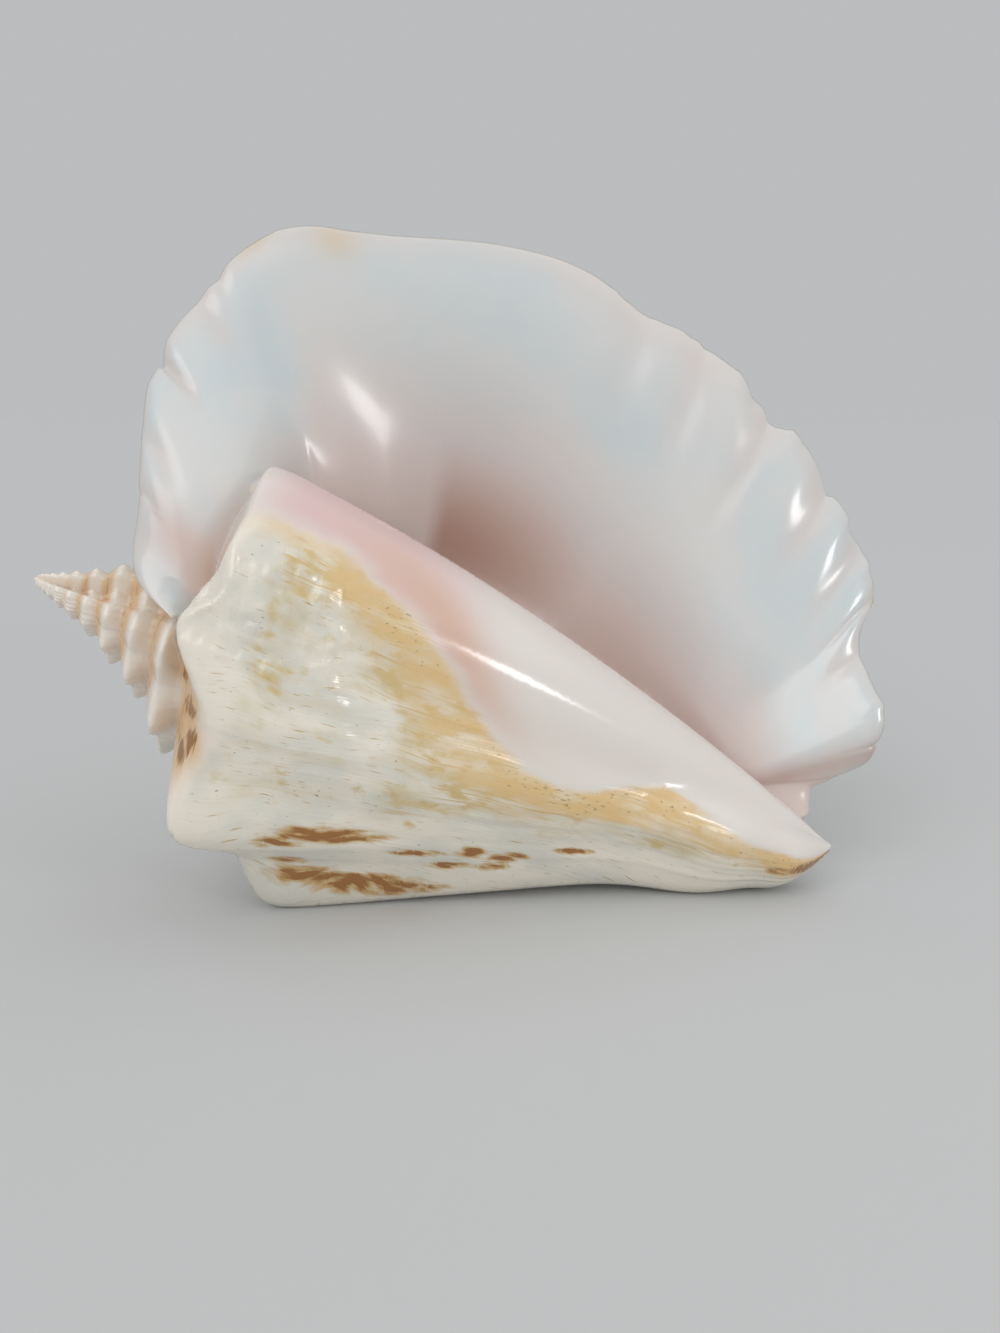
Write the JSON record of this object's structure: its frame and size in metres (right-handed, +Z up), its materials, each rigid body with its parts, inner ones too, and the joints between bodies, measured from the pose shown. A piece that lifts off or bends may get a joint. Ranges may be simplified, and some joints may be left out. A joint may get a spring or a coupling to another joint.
{
  "type": "conch shell",
  "caption": "Large conch shell lying on its knobs, with a pointed knobbed spire, a tapering body whorl and a wide flared lip beside an open aperture.",
  "frame": {"origin": "middle of the shell's box, on the surface that it rests on", "axes": "+X from the apex towards the siphonal tip, +Y away from the open side of the aperture, +Z up"},
  "size_m": [0.2314, 0.1102, 0.1828],
  "materials": {
    "shell": "glossy nacreous shell"
  },
  "bodies": {
    "root": {"shell": "shell"}
  },
  "joints": []
}
